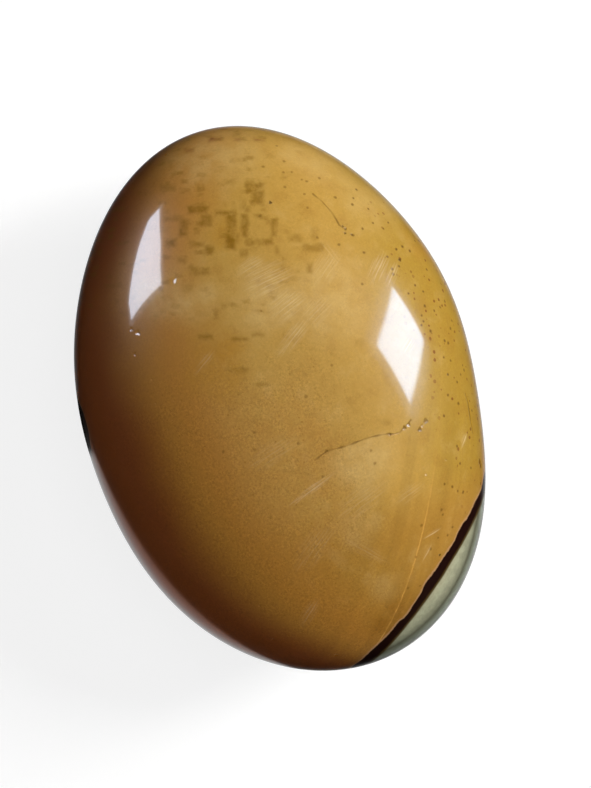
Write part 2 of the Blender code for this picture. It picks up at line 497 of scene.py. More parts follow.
# Each cloud in the ochre: its colour, its middle, its reach and its strength.
CLOUDS = (
    (SILT, (9.3, -1.6, 24.8), 4.8, 0.58),
    (SILT, (7.0, -7.4, 24.1), 5.6, 0.55),
    (SILT, (11.3, 4.6, 24.2), 3.4, 0.45),
    # the next silt cloud is painted highlight: a pale glow beside the far window's reflection
    (SILT, (12.2, 7.4, 22.8), 4.2, 0.50),
    (SILT, (-14.0, -3.0, 24.0), 3.2, 0.40),
    (SILT, (-20.5, -4.0, 21.0), 2.8, 0.35),
    (SILT, (21.5, -9.8, 18.3), 5.0, 0.45),
    (SILT, (24.5, -1.0, 18.0), 6.5, 0.55),
    (SILT, (16.5, -14.0, 18.5), 6.0, 0.45),
    (AMBER, (9.2, 11.0, 20.5), 3.6, 0.22),
    (AMBER, (-4.0, 0.5, 25.3), 8.5, 0.50),
    (AMBER, (-12.0, 1.0, 24.0), 7.0, 0.45),
    (HONEY, (4.8, 4.4, 25.1), 5.2, 0.80),
    (AMBER, (10.0, -16.6, 15.6), 4.2, 0.55),
    (AMBER, (-12.0, -16.8, 15.4), 3.6, 0.55),
    (HONEY, (16.8, -0.3, 23.2), 2.6, 0.60),
    (BROWN, (-24.2, -5.0, 18.5), 5.6, 1.00),
)
CLOUD_CORE = 0.15  # how much of a cloud's reach has its full strength
WISPS = (0.30, 0.66, 0.45, 1.0)
wispy = ease(stone_tree, cloud(stone_tree, place, scale=0.55, detail=4.0, roughness=0.6), *WISPS)
for colour, middle, reach, strength in CLOUDS:
    gap = steer(stone_tree, "DISTANCE", warped_place, middle, output=1)
    in_cloud = ease(stone_tree, gap, reach, reach * CLOUD_CORE, 0.0, strength)
    ochre = blend(stone_tree, reckon(stone_tree, "MULTIPLY", in_cloud, wispy), ochre, colour)
# the low end is a little deeper in colour than the other
DEEPENING = (-18.0, 22.0, 0.95, 1.06)
ochre = scaled(stone_tree, ochre, ease(stone_tree, x_place, *DEEPENING))
# the healed crack parts a paler block of stone from the rest
BLOCK_MIDDLE = (-7.6, -6.2, 24.4)
BLOCK_REACH = (4.6, 1.2, 0.0, 0.62)
CRACK_SLANT = 0.055
CRACK_SIDES = (-6.15, -6.55)
in_block = steer(stone_tree, "DISTANCE", place, BLOCK_MIDDLE, output=1)
along_crack = reckon(stone_tree, "MULTIPLY_ADD", y_place, CRACK_SLANT, x_place)
below_crack = ease(stone_tree, along_crack, *CRACK_SIDES)
block_share = reckon(stone_tree, "MULTIPLY", below_crack, ease(stone_tree, in_block, *BLOCK_REACH))
ochre = blend(stone_tree, reckon(stone_tree, "MULTIPLY", block_share, wispy), ochre, SILT)

# growth bands: silt laid down in sheets, with one bright orange line between two of them
GROWTH_WAY = (-0.3844, -0.7654, -0.516)
GROWTH_REACH = 2.315
GROWTH_ORANGE = (0.640, 0.330, 0.070, 1.0)
LAMINA_STRETCH = 0.06
LAMINA_LENGTH = (2.0, -12.0)
LAMINA_REACH = (9.0, 2.0)
LAMINA_TONE = (0.32, 0.68, -0.075, 0.075)
LINE_EDGE = (0.12, 0.03)
LINE_LENGTH = (-9.0, -18.0, 0.12, 1.0)
LINE_BREAKS = (0.35, 0.55, 0.3, 0.68)
growth_depth = stone_depth(stone_tree, steer(stone_tree, "ADD", place, fine_drift), GROWTH_WAY, GROWTH_REACH)
along_sheets = reckon(stone_tree, "MULTIPLY", x_place, LAMINA_STRETCH)
lamina_place = joined(stone_tree, "ShaderNodeCombineXYZ", {0: growth_depth, 1: along_sheets}).outputs[0]
lamina = cloud(stone_tree, lamina_place, scale=0.75, detail=2.0, roughness=0.5)
from_line = reckon(stone_tree, "ABSOLUTE", growth_depth)
low_half = ease(stone_tree, x_place, *LAMINA_LENGTH)
lamina_zone = reckon(stone_tree, "MULTIPLY", low_half, ease(stone_tree, from_line, *LAMINA_REACH))
lamina_tone = ease(stone_tree, lamina, *LAMINA_TONE)
ochre = scaled(stone_tree, ochre, reckon(stone_tree, "MULTIPLY_ADD", lamina_zone, lamina_tone, 1.0))
line_edge = ease(stone_tree, from_line, *LINE_EDGE)
line_strength = ease(stone_tree, x_place, *LINE_LENGTH)
line_breaks = ease(stone_tree, cloud(stone_tree, place, scale=0.5), *LINE_BREAKS)
line_zone = reckon(stone_tree, "MULTIPLY", line_strength, line_breaks)
ochre = blend(stone_tree, reckon(stone_tree, "MULTIPLY", line_edge, line_zone), ochre, GROWTH_ORANGE)

# mottles: olive-brown blocks in the silt, square to its beds, which cross the stone aslant
BEDDING_TURN = math.radians(107.06)
OLIVE_BROWN = (0.215, 0.100, 0.001, 1.0)
RED_BROWN = (0.230, 0.070, 0.015, 1.0)
# Each mottle: its middle and half size along and across the beds, and how dark it is.
MOTTLES = (
    (-2.3, 20.4, 0.87, 0.51, 0.80), (-2.0, 19.4, 0.64, 0.72, 0.70), (-4.7, 21.0, 0.42, 0.24, 0.35),
    (-3.4, 18.8, 0.24, 0.52, 0.50), (-2.9, 18.3, 0.32, 0.33, 0.50), (-5.0, 17.9, 1.01, 0.19, 0.80),
    (-4.5, 16.1, 0.46, 1.73, 0.80), (-4.3, 15.4, 0.55, 0.42, 0.50), (-3.2, 16.6, 0.30, 1.13, 0.75),
    (-0.4, 16.4, 0.23, 0.89, 0.60), (-1.8, 15.0, 1.28, 0.30, 0.70), (-7.8, 18.2, 0.93, 0.38, 0.80),
    (-6.9, 17.2, 0.51, 0.61, 0.60), (-10.1, 17.4, 0.75, 0.17, 0.60), (-9.1, 16.4, 0.42, 0.79, 0.75),
    (-10.3, 15.0, 0.51, 0.35, 0.80), (-7.7, 14.8, 0.61, 0.22, 0.60), (-6.6, 14.2, 0.38, 0.41, 0.75),
    (-3.2, 13.9, 0.32, 0.37, 0.60), (-0.1, 14.2, 0.18, 0.46, 0.45), (-10.7, 20.5, 0.71, 0.27, 0.50),
    (-7.6, 20.5, 0.37, 0.29, 0.40), (-9.2, 13.2, 0.46, 0.28, 0.50), (-7.5, 12.2, 0.94, 0.34, 0.60),
    (-8.6, 10.6, 0.51, 0.37, 0.30), (-5.8, 8.1, 0.25, 0.45, 0.50), (-4.8, 9.0, 0.54, 0.17, 0.30),
    (-6.8, 6.0, 0.68, 0.19, 0.70), (-3.6, 5.7, 0.80, 0.17, 0.70), (-1.9, 6.1, 0.53, 0.17, 0.60),
    (-3.9, 2.8, 0.93, 0.16, 0.60), (-1.5, 1.4, 0.46, 0.13, 0.70), (7.7, 5.4, 0.40, 0.27, 0.35),
    (10.4, -2.1, 0.34, 0.20, 0.40), (1.6, 15.4, 0.54, 0.33, 0.50), (3.3, 14.5, 1.05, 0.37, 0.55),
    (3.0, 12.5, 0.23, 0.46, 0.60), (3.5, 15.9, 0.28, 0.67, 0.35),
)
RED_MOTTLES = (
    (-8.8, 24.4, 0.43, 0.16, 0.80), (-6.3, 25.6, 0.57, 0.25, 1.00), (-4.1, 25.5, 0.33, 0.14, 0.60),
    (-1.9, 25.5, 0.51, 0.17, 0.80),
)
BLOTCH_SOFTNESS = 0.28
BLOTCH_EDGE = (0.30, -0.28)
blotch, blotch_in, blotch_out = shader_group(
    "blotch",
    {"Place": "Vector", "Middle": "Vector", "Half Size": "Vector", "Strength": "Float"},
    {"Mask": "Float"},
)
blotch_offset = steer(blotch, "SUBTRACT", blotch_in.outputs[0], blotch_in.outputs[1])
blotch_offset = steer(blotch, "ABSOLUTE", blotch_offset)
blotch_edge = steer(blotch, "SUBTRACT", blotch_offset, blotch_in.outputs[2])
edge_along = steer(blotch, "DOT_PRODUCT", blotch_edge, (1.0, 0.0, 0.0), output=1)
edge_across = steer(blotch, "DOT_PRODUCT", blotch_edge, (0.0, 1.0, 0.0), output=1)
past_edge = reckon(blotch, "SMOOTH_MAX", edge_along, edge_across, BLOTCH_SOFTNESS)
blotch_cover = ease(blotch, past_edge, *BLOTCH_EDGE)
blotch.links.new(reckon(blotch, "MULTIPLY", blotch_cover, blotch_in.outputs[3]), blotch_out.inputs[0])


def blotches(beds, marks):
    """How strongly any of the marks covers a place among the beds."""
    cover = None
    for along_beds, across_beds, half_along, half_across, strength in marks:
        mark = stone_tree.nodes.new("ShaderNodeGroup")
        mark.node_tree = blotch
        stone_tree.links.new(beds, mark.inputs["Place"])
        mark.inputs["Middle"].default_value = (along_beds, across_beds, 0.0)
        mark.inputs["Half Size"].default_value = (half_along, half_across, 1.0)
        mark.inputs["Strength"].default_value = strength
        cover = mark.outputs[0] if cover is None else reckon(stone_tree, "MAXIMUM", cover, mark.outputs[0])
    return cover


def turned(tree, vector, angle):
    values = {"Vector": vector, "Angle": angle}
    return joined(tree, "ShaderNodeVectorRotate", values, rotation_type="Z_AXIS").outputs[0]


CROWN_EDGE = (12.5, 14.5)
MOTTLE_BREAKS = (0.30, 0.60, 0.45, 1.0)
bed_place = turned(stone_tree, place, BEDDING_TURN)
uneven_place = steer(stone_tree, "ADD", steer(stone_tree, "ADD", place, small_drift), fine_drift)
mottle_place = turned(stone_tree, uneven_place, BEDDING_TURN)
crown_side = ease(stone_tree, z_place, *CROWN_EDGE)
patchy = cloud(stone_tree, place, scale=1.1, detail=3.0, roughness=0.6)
broken = reckon(stone_tree, "MULTIPLY", ease(stone_tree, patchy, *MOTTLE_BREAKS), crown_side)
for marks, colour in ((MOTTLES, OLIVE_BROWN), (RED_MOTTLES, RED_BROWN)):
    mottled = reckon(stone_tree, "MULTIPLY", blotches(mottle_place, marks), broken)
    ochre = blend(stone_tree, mottled, ochre, colour)
# fainter small mottles between them
FAINT_SPACING = (0.62, 1.35, 0.0)
FAINT_EDGE = (0.44, 0.10)
FAINT_UP_BEDS = (4.0, 12.0)
FAINT_ALONG_BEDS = (5.0, -2.0)
FAINT_PATCHES = (0.42, 0.62, 0.0, 0.45)
faint_place = steer(stone_tree, "MULTIPLY", mottle_place, FAINT_SPACING)
faint_cells = {"Vector": faint_place, "Scale": 1.0}
faint = joined(stone_tree, "ShaderNodeTexVoronoi", faint_cells, distance="CHEBYCHEV")
faint_cover = ease(stone_tree, faint.outputs["Distance"], *FAINT_EDGE)
along_beds = steer(stone_tree, "DOT_PRODUCT", bed_place, (1.0, 0.0, 0.0), output=1)
up_beds = steer(stone_tree, "DOT_PRODUCT", bed_place, (0.0, 1.0, 0.0), output=1)
left_beds = ease(stone_tree, along_beds, *FAINT_ALONG_BEDS)
faint_zone = reckon(stone_tree, "MULTIPLY", ease(stone_tree, up_beds, *FAINT_UP_BEDS), left_beds)
faint_patches = ease(stone_tree, cloud(stone_tree, place, scale=0.7), *FAINT_PATCHES)
faint_zone = reckon(stone_tree, "MULTIPLY", faint_zone, faint_patches)
faint_cover = reckon(stone_tree, "MULTIPLY", faint_cover, faint_zone)
faint_cover = reckon(stone_tree, "MULTIPLY", faint_cover, crown_side)
ochre = blend(stone_tree, faint_cover, ochre, OLIVE_BROWN)

# pinholes: bubbles about a fifth of a millimetre wide, thickest along the near rim, each with dark dirt in it
PINHOLE_BROWN = (0.130, 0.054, 0.002, 1.0)
# Each size of pinhole, by radius: where they are on the crown.
PINHOLES = {
    0.12: (
        (17.1, -11.0), (16.0, -12.4), (10.7, -15.9), (2.0, -16.0), (23.8, -7.1), (22.0, -5.2), (22.0, -7.3),
        (17.4, -13.3), (10.6, -15.2), (10.1, -16.5), (8.8, -14.2), (8.3, -14.1), (7.9, -17.6), (4.5, -16.2),
        (1.7, -18.1), (0.7, -17.1), (0.4, -17.4), (-5.5, -16.6), (-13.0, -13.6), (-13.9, -14.5),
        (-15.6, -9.6), (17.3, -3.5), (-0.5, -2.6), (-6.0, -2.9), (-8.5, -7.0), (-18.1, -9.8),
    ),
    0.10: (
        (20.9, -6.9), (20.7, -7.7), (19.4, -6.6), (18.2, -8.2), (16.8, -8.1), (19.4, -8.8), (19.4, -10.1),
        (12.5, -9.9), (8.9, -14.9), (6.7, -15.9), (8.2, -10.9), (13.7, -8.1), (3.8, -17.0), (4.4, -18.4),
        (2.8, -15.3), (-2.6, -18.2), (-3.5, -17.1), (-4.4, -15.8), (-6.2, -14.8), (-9.4, -15.2),
        (-11.1, -15.0), (-12.5, -12.9), (-14.8, -11.9), (-18.4, -8.2), (-21.1, -6.6), (-24.1, -7.8),
        (-2.3, 3.1), (-4.5, -0.6), (-3.9, 3.5), (-3.2, 6.4), (-8.2, -1.9), (13.0, -11.5), (11.1, -12.0),
        (1.6, -5.8), (-6.6, -17.8),
    ),
    0.08: (
        (19.7, -8.4), (16.6, -12.7), (15.2, -13.8), (13.4, -15.3), (13.7, -13.8), (12.9, -14.6),
        (13.4, -12.6), (10.1, -14.1), (11.0, -17.4), (5.9, -16.5), (6.1, -15.0), (4.0, -17.7), (3.7, -15.6),
        (3.1, -15.6), (2.4, -18.5), (-0.8, -16.5), (-1.3, -17.1), (-2.1, -18.2), (-2.9, -17.7),
        (-4.9, -16.1), (-11.9, -16.0), (-13.6, -14.0), (-15.3, -11.9), (-16.8, -12.5), (-17.3, -10.8),
        (-17.4, -11.8), (-21.3, -7.8), (8.5, -0.9), (-7.2, -7.0),
    ),
}
speck_place = steer(stone_tree, "ADD", place, fine_drift)
pinhole_edge = None
for radius, holes in PINHOLES.items():
    for x, y in holes:
        gap = steer(stone_tree, "DISTANCE", speck_place, tuple(on_crown(x, y)), output=1)
        edge = reckon(stone_tree, "SUBTRACT", gap, radius)
        pinhole_edge = edge if pinhole_edge is None else reckon(stone_tree, "MINIMUM", pinhole_edge, edge)
# the same round the stone's flanks, in a band above the vein
PORE_CROWDING = 0.72
PORE_RADIUS = 0.13
PORE_EDGE = (0.04, -0.05)
PORE_BAND = (5.0, 1.0)
PORE_HEIGHTS = (15.0, 13.0)
pores = joined(stone_tree, "ShaderNodeTexVoronoi", {"Vector": place, "Scale": PORE_CROWDING})
pore_gap = reckon(stone_tree, "DIVIDE", pores.outputs["Distance"], PORE_CROWDING)
pore_edge = reckon(stone_tree, "SUBTRACT", pore_gap, PORE_RADIUS)
near_vein = ease(stone_tree, into_ochre, *PORE_BAND)
pore_zone = reckon(stone_tree, "MULTIPLY", ease(stone_tree, z_place, *PORE_HEIGHTS), near_vein)
pore_cover = reckon(stone_tree, "MULTIPLY", ease(stone_tree, pore_edge, *PORE_EDGE), pore_zone)
# the pinholes of the mid crown are fainter than those of the near rim
PINHOLE_EDGE = (0.12, -0.05)
PINHOLE_STRENGTH = (-8.0, -15.0, 0.50, 0.88)
pinhole_strength = ease(stone_tree, y_place, *PINHOLE_STRENGTH)
pinhole_cover = ease(stone_tree, pinhole_edge, *PINHOLE_EDGE)
pinhole_cover = reckon(stone_tree, "MULTIPLY", pinhole_cover, pinhole_strength)
pinhole_cover = reckon(stone_tree, "MAXIMUM", pinhole_cover, pore_cover)
ochre = blend(stone_tree, pinhole_cover, ochre, PINHOLE_BROWN)

# rust specks: finer and more crowded, strewn along the near rim
RUST_SPECK = (0.200, 0.066, 0.006, 1.0)
SPECK_CROWDING = 1.45
SPECK_RADII = (0.25, 1.0, 0.0, 0.27)
SPECK_EDGE = (0.05, -0.04)
SPECK_RANGE = (-12.5, -16.5)
SPECK_PATCHES = (0.34, 0.52, 0.40, 1.0)
specks = joined(stone_tree, "ShaderNodeTexVoronoi", {"Vector": speck_place, "Scale": SPECK_CROWDING})
speck_size = steer(stone_tree, "DOT_PRODUCT", specks.outputs["Color"], (1.0, 0.0, 0.0), output=1)
speck_radius = ease(stone_tree, speck_size, *SPECK_RADII)
speck_edge = reckon(stone_tree, "SUBTRACT", specks.outputs["Distance"], speck_radius)
speck_patches = ease(stone_tree, cloud(stone_tree, place, scale=0.45), *SPECK_PATCHES)
speck_zone = reckon(stone_tree, "MULTIPLY", ease(stone_tree, y_place, *SPECK_RANGE), speck_patches)
speck_cover = reckon(stone_tree, "MULTIPLY", ease(stone_tree, speck_edge, *SPECK_EDGE), speck_zone)
ochre = blend(stone_tree, speck_cover, ochre, RUST_SPECK)

# grain: fine silt, coarsest over the middle and low end of the crown, with dark flecks
GRAIN_MIDDLE = 5.0
GRAIN_LENGTH = (7.0, 0.0)
GRAIN_WIDTH = (14.0, 6.0)
GRAIN_PATCHES = (0.34, 0.62, 0.45, 1.0)
GRAIN_TONE = (0.28, 0.72, -1.0, 1.0)
GRAIN_EXTRA = 0.20
GRAIN_LEAST = 0.12
FLECK_CROWDING = 1.9
FLECK_RADIUS = 0.20
FLECK_EDGE = (0.03, -0.05)
FLECK_EXTRA = 0.32
FLECK_LEAST = 0.10
grain = cloud(stone_tree, place, scale=4.2, detail=4.0, roughness=0.90)
from_middle = reckon(stone_tree, "ABSOLUTE", reckon(stone_tree, "ADD", y_place, -GRAIN_MIDDLE))
low_crown = ease(stone_tree, x_place, *GRAIN_LENGTH)
grain_zone = reckon(stone_tree, "MULTIPLY", low_crown, ease(stone_tree, from_middle, *GRAIN_WIDTH))
grain_depth = reckon(stone_tree, "MULTIPLY_ADD", grain_zone, GRAIN_EXTRA, GRAIN_LEAST)
grain_patches = cloud(stone_tree, place, scale=0.8, detail=3.0, roughness=0.6)
grain_patches = ease(stone_tree, grain_patches, *GRAIN_PATCHES)
grain_depth = reckon(stone_tree, "MULTIPLY", grain_depth, grain_patches)
grain_tone = ease(stone_tree, grain, *GRAIN_TONE)
ochre = scaled(stone_tree, ochre, reckon(stone_tree, "MULTIPLY_ADD", grain_depth, grain_tone, 1.0))
flecks = joined(stone_tree, "ShaderNodeTexVoronoi", {"Vector": place, "Scale": FLECK_CROWDING})
fleck_size = steer(stone_tree, "DOT_PRODUCT", flecks.outputs["Color"], (1.0, 0.0, 0.0), output=1)
fleck_radius = reckon(stone_tree, "MULTIPLY", fleck_size, FLECK_RADIUS)
fleck_edge = reckon(stone_tree, "SUBTRACT", flecks.outputs["Distance"], fleck_radius)
fleck_strength = reckon(stone_tree, "MULTIPLY_ADD", grain_zone, FLECK_EXTRA, FLECK_LEAST)
fleck_share = reckon(stone_tree, "MULTIPLY", ease(stone_tree, fleck_edge, *FLECK_EDGE), fleck_strength)
ochre = blend(stone_tree, fleck_share, ochre, OLIVE_BROWN)

# sage green: bands laid level, paler and darker, with a cream and a mauve one under the stone
# Each band: how high in the stone it is and its colour.
SAGE_BANDS = (
    (2.0, (0.270, 0.215, 0.165)),
    (3.4, (0.330, 0.300, 0.200)),
    (5.2, (0.190, 0.210, 0.150)),
    (8.0, (0.250, 0.270, 0.200)),
    (10.4, (0.180, 0.200, 0.150)),
    (12.8, (0.250, 0.275, 0.225)),
    (15.2, (0.295, 0.325, 0.265)),
    (15.8, (0.215, 0.230, 0.165)),
    (16.35, (0.105, 0.108, 0.066)),
    (16.8, (0.230, 0.235, 0.155)),
    (17.7, (0.365, 0.370, 0.245)),
    (19.6, (0.450, 0.420, 0.265)),
)
SAGE_TOP = 22.0
BAND_WAVER = 0.5
SAGE_GRAIN = (0.3, 0.7, 0.84, 1.12)
bands = stone_tree.nodes.new("ShaderNodeValToRGB")
small_drift_up = steer(stone_tree, "DOT_PRODUCT", small_drift, (0.0, 0.0, 1.0), output=1)
banded_place = reckon(stone_tree, "MULTIPLY_ADD", small_drift_up, BAND_WAVER, z_place)
stone_tree.links.new(reckon(stone_tree, "DIVIDE", banded_place, SAGE_TOP), bands.inputs[0])
while len(bands.color_ramp.elements) < len(SAGE_BANDS):
    bands.color_ramp.elements.new(0.5)
for element, (height, _) in zip(bands.color_ramp.elements, SAGE_BANDS):
    element.position = height / SAGE_TOP
for element, (_, colour) in zip(bands.color_ramp.elements, SAGE_BANDS):
    element.color = (*colour, 1.0)
sage_grain = cloud(stone_tree, place, scale=1.3, detail=4.0, roughness=0.65)
sage = scaled(stone_tree, bands.outputs[0], ease(stone_tree, sage_grain, *SAGE_GRAIN))

# the three grown together, with grinding dirt in the hollows and a pale seam where the ochre meets the vein
SEAM_PALE = (0.480, 0.270, 0.150, 1.0)
SEAM_RANGE = (0.26, 0.10, 0.0, 0.70)
DIRT_COVER = 0.85
VEIN_BROWN = (0.011, 0.0030, 0.0020, 1.0)
DIRT_BROWN = (0.110, 0.046, 0.001, 1.0)
VEIN_FRINGE = (0.075, 0.045, 0.010, 1.0)
ochre = blend(stone_tree, ease(stone_tree, into_ochre, *SEAM_RANGE), ochre, SEAM_PALE)
vein = blend(stone_tree, fringe_share, VEIN_BROWN, VEIN_FRINGE)
body = blend(stone_tree, ochre_share, vein, ochre)
body = blend(stone_tree, sage_share, body, sage)
hollow_dirt = joined(stone_tree, "ShaderNodeAttribute", {}, attribute_name="dirt").outputs["Fac"]
body = blend(stone_tree, reckon(stone_tree, "MULTIPLY", hollow_dirt, DIRT_COVER), body, DIRT_BROWN)

# scratches: patches of fine parallel lines from the last grinding, which scatter light and break the polish
SCRATCH_PALE = (0.800, 0.640, 0.400, 1.0)
# Each patch: its middle along and across the beds, turn in degrees, half length, half width and strength.
SCRATCHES = (
    (-0.9, 11.4, 27, 3.0, 1.9, 0.30), (-2.6, 12.6, 33, 1.9, 1.2, 0.24), (0.9, 9.0, 40, 2.4, 1.8, 0.26),
    (1.5, 6.0, 53, 2.8, 1.0, 0.28), (9.6, 12.6, 66, 2.2, 1.1, 0.30), (10.9, 12.0, 68, 1.7, 0.7, 0.30),
    (3.2, -8.5, 37, 3.2, 0.5, 0.30), (14.8, -12.9, 30, 1.3, 0.2, 0.34), (18.0, -4.0, 69, 1.0, 0.3, 0.40),
    (12.4, 5.2, 60, 1.0, 0.8, 0.40), (14.3, -14.8, 62, 1.2, 0.2, 0.26), (5.0, 14.0, -50, 2.0, 0.8, 0.14),
    (8.5, -14.5, -28, 3.0, 0.8, 0.10), (3.0, -20.5, 60, 2.0, 0.8, 0.14), (-7.0, 3.5, 52, 2.0, 0.6, 0.14),
    (4.6, 12.6, 58, 2.6, 1.6, 0.17), (3.6, 8.4, 48, 2.4, 1.6, 0.18), (8.0, -9.5, 38, 3.6, 1.6, 0.13),
    (3.5, -14.0, 55, 3.8, 1.5, 0.10), (-0.5, -5.0, 34, 3.5, 1.4, 0.10), (12.5, -9.0, 36, 2.2, 0.9, 0.13),
)
SCRATCH_EDGE = (1.0, 0.30)
SCRATCH_CONTRAST = (0.42, 0.66, 0.14, 1.0)
SCRATCH_LENGTHENING = (0.34, 6.2, 0.0)
ANY_HEIGHT = 1000.0  # a patch goes as deep as the stone
scratch, scratch_in, scratch_out = shader_group(
    "scratches",
    {"Place": "Vector", "Middle": "Vector", "Turn": "Float", "Half Size": "Vector", "Strength": "Float"},
    {"Mask": "Float"},
)
scratch_offset = steer(scratch, "SUBTRACT", scratch_in.outputs[0], scratch_in.outputs[1])
scratch_turned = turned(scratch, scratch_offset, scratch_in.outputs[2])
scratch_share = steer(scratch, "DIVIDE", scratch_turned, scratch_in.outputs[3])
scratch_share = steer(scratch, "LENGTH", scratch_share, output=1)
scratch_patch = ease(scratch, scratch_share, *SCRATCH_EDGE)
scratch_lines = cloud(scratch, steer(scratch, "MULTIPLY", scratch_turned, SCRATCH_LENGTHENING), 1.0, 2.0)
scratch_cover = ease(scratch, scratch_lines, *SCRATCH_CONTRAST)
scratch_mask = reckon(scratch, "MULTIPLY", scratch_patch, scratch_cover)
scratch.links.new(reckon(scratch, "MULTIPLY", scratch_mask, scratch_in.outputs[4]), scratch_out.inputs[0])
scratched = None
for along_beds, across_beds, turn, half_length, half_width, strength in SCRATCHES:
    patch = stone_tree.nodes.new("ShaderNodeGroup")
    patch.node_tree = scratch
    stone_tree.links.new(bed_place, patch.inputs["Place"])
    patch.inputs["Middle"].default_value = (along_beds, across_beds, 0.0)
    patch.inputs["Turn"].default_value = -math.radians(turn)
    patch.inputs["Half Size"].default_value = (half_length, half_width, ANY_HEIGHT)
    patch.inputs["Strength"].default_value = strength
    mask = patch.outputs[0]
    scratched = mask if scratched is None else reckon(stone_tree, "MAXIMUM", scratched, mask)
scratched = reckon(stone_tree, "MULTIPLY", scratched, crown_side)
body = blend(stone_tree, scratched, body, SCRATCH_PALE)

# the polish: a hard, smooth skin over slightly waxy stone, dulled by scratches and dirt
DIRT_DULLING = 1.3
POLISH_LOSS = 0.8
dulled = reckon(stone_tree, "MULTIPLY", hollow_dirt, DIRT_DULLING)
dulled = reckon(stone_tree, "MAXIMUM", scratched, dulled)
polish = reckon(stone_tree, "MULTIPLY_ADD", dulled, -POLISH_LOSS, 1.0, clamp=True)
shader = joined(
    stone_tree,
    "ShaderNodeBsdfPrincipled",
    {
        "Base Color": body,
        "Roughness": 0.34,
        "Specular IOR Level": 0.22,
        "Coat Weight": polish,
        "Coat Roughness": 0.05,
        "Coat IOR": 1.54,
    },
)
surface = stone_tree.nodes.new("ShaderNodeOutputMaterial")
stone_tree.links.new(shader.outputs[0], surface.inputs["Surface"])
pebble.data.materials.append(jasper)

# The floor
# A plain pale board that the stone lies on, matt and evenly lit. The polish doesn't mirror it, only the sky's
# glow from below, so that the stone's rim keeps its deep colour.
FLOOR_HALF = 1.5
BOARD_GLOW = 0.78
BOARD_SEEN = (0.30, 0.30, 0.30, 1.0)
BOARD_TO_STONE = (0.55, 0.55, 0.55, 1.0)
floor_mesh = bpy.data.meshes.new("floor")
floor_corners = [(-FLOOR_HALF, -FLOOR_HALF, 0), (FLOOR_HALF, -FLOOR_HALF, 0)]
floor_corners += [(FLOOR_HALF, FLOOR_HALF, 0), (-FLOOR_HALF, FLOOR_HALF, 0)]
floor_mesh.from_pydata(floor_corners, [], [(0, 1, 2, 3)])
floor = bpy.data.objects.new("floor", floor_mesh)
board = bpy.data.materials.new("pale_board")
board.use_nodes = True
board_paint = board.node_tree.nodes["Principled BSDF"]
board_paint.inputs["Roughness"].default_value = 0.9
board_paint.inputs["Specular IOR Level"].default_value = 0.1
board_paint.inputs["Emission Color"].default_value = (1.0, 1.0, 1.0, 1.0)
board_sight = board.node_tree.nodes.new("ShaderNodeLightPath").outputs["Is Camera Ray"]
board_glow = reckon(board.node_tree, "MULTIPLY", board_sight, BOARD_GLOW)
board_tone = blend(board.node_tree, board_sight, BOARD_TO_STONE, BOARD_SEEN)
board.node_tree.links.new(board_tone, board_paint.inputs["Base Color"])
board.node_tree.links.new(board_glow, board_paint.inputs["Emission Strength"])
floor_mesh.materials.append(board)
bpy.context.scene.collection.objects.link(floor)
floor.visible_glossy = False

# The lights
# Two bright openings, like windows seen from a bench: a broad soft-edged one low on the stone's near side,
# and one cut off aslant towards its far end. A soft panel hangs overhead, and the dim sky glows from below.
WINDOW_DISTANCE = 0.6
WINDOW_AIM = (0.0, 0.0, 0.02)


def window(name, way, corners, soft_edge, halo_reach, halo_share, radiance, colour):
    """A lamp that faces the stone down a way and shines through an opening with corners given clockwise.

    A dimmer halo stands round the opening, as light does on a window's reveal.
    """
    facing = Vector(way).normalized()
    side = Vector((0, 0, 1)).cross(facing).normalized()
    axes = Matrix((side, facing.cross(side), facing)).transposed()
    data = bpy.data.lights.new(name, "AREA")
    data.shape = "RECTANGLE"
    spans = [2 * (max(abs(corner[axis]) for corner in corners) + soft_edge + halo_reach) for axis in (0, 1)]
    data.size, data.size_y = spans
    data.energy = radiance * math.pi * spans[0] * spans[1]
    data.color = colour
    data.use_nodes = True
    tree = data.node_tree
    on_lamp = tree.nodes.new("ShaderNodeNewGeometry").outputs["Parametric"]
    spot = joined(tree, "ShaderNodeSeparateXYZ", {0: on_lamp})
    across = reckon(tree, "MULTIPLY_ADD", spot.outputs[0], spans[0], -spans[0] / 2)
    up = reckon(tree, "MULTIPLY_ADD", spot.outputs[1], spans[1], -spans[1] / 2)
    shown = haloed = 1.0
    for start, end in zip(corners, corners[1:] + corners[:1]):
        edge = Vector(end) - Vector(start)
        inward = Vector((edge.y, -edge.x)).normalized()
        inside = reckon(tree, "MULTIPLY_ADD", across, inward.x, -inward.dot(Vector(start)))
        inside = reckon(tree, "MULTIPLY_ADD", up, inward.y, inside)
        shown = reckon(tree, "MULTIPLY", shown, ease(tree, inside, -soft_edge / 2, soft_edge / 2))
        haloed = reckon(tree, "MULTIPLY", haloed, ease(tree, inside, -halo_reach, 0.0))
    shown = reckon(tree, "MAXIMUM", shown, reckon(tree, "MULTIPLY", haloed, halo_share))
    tree.links.new(shown, tree.nodes["Emission"].inputs["Strength"])
    lamp = bpy.data.objects.new(name, data)
    lamp.matrix_world = Matrix.Translation(WINDOW_DISTANCE * facing + Vector(WINDOW_AIM)) @ axes.to_4x4()
    bpy.context.scene.collection.objects.link(lamp)
    return lamp


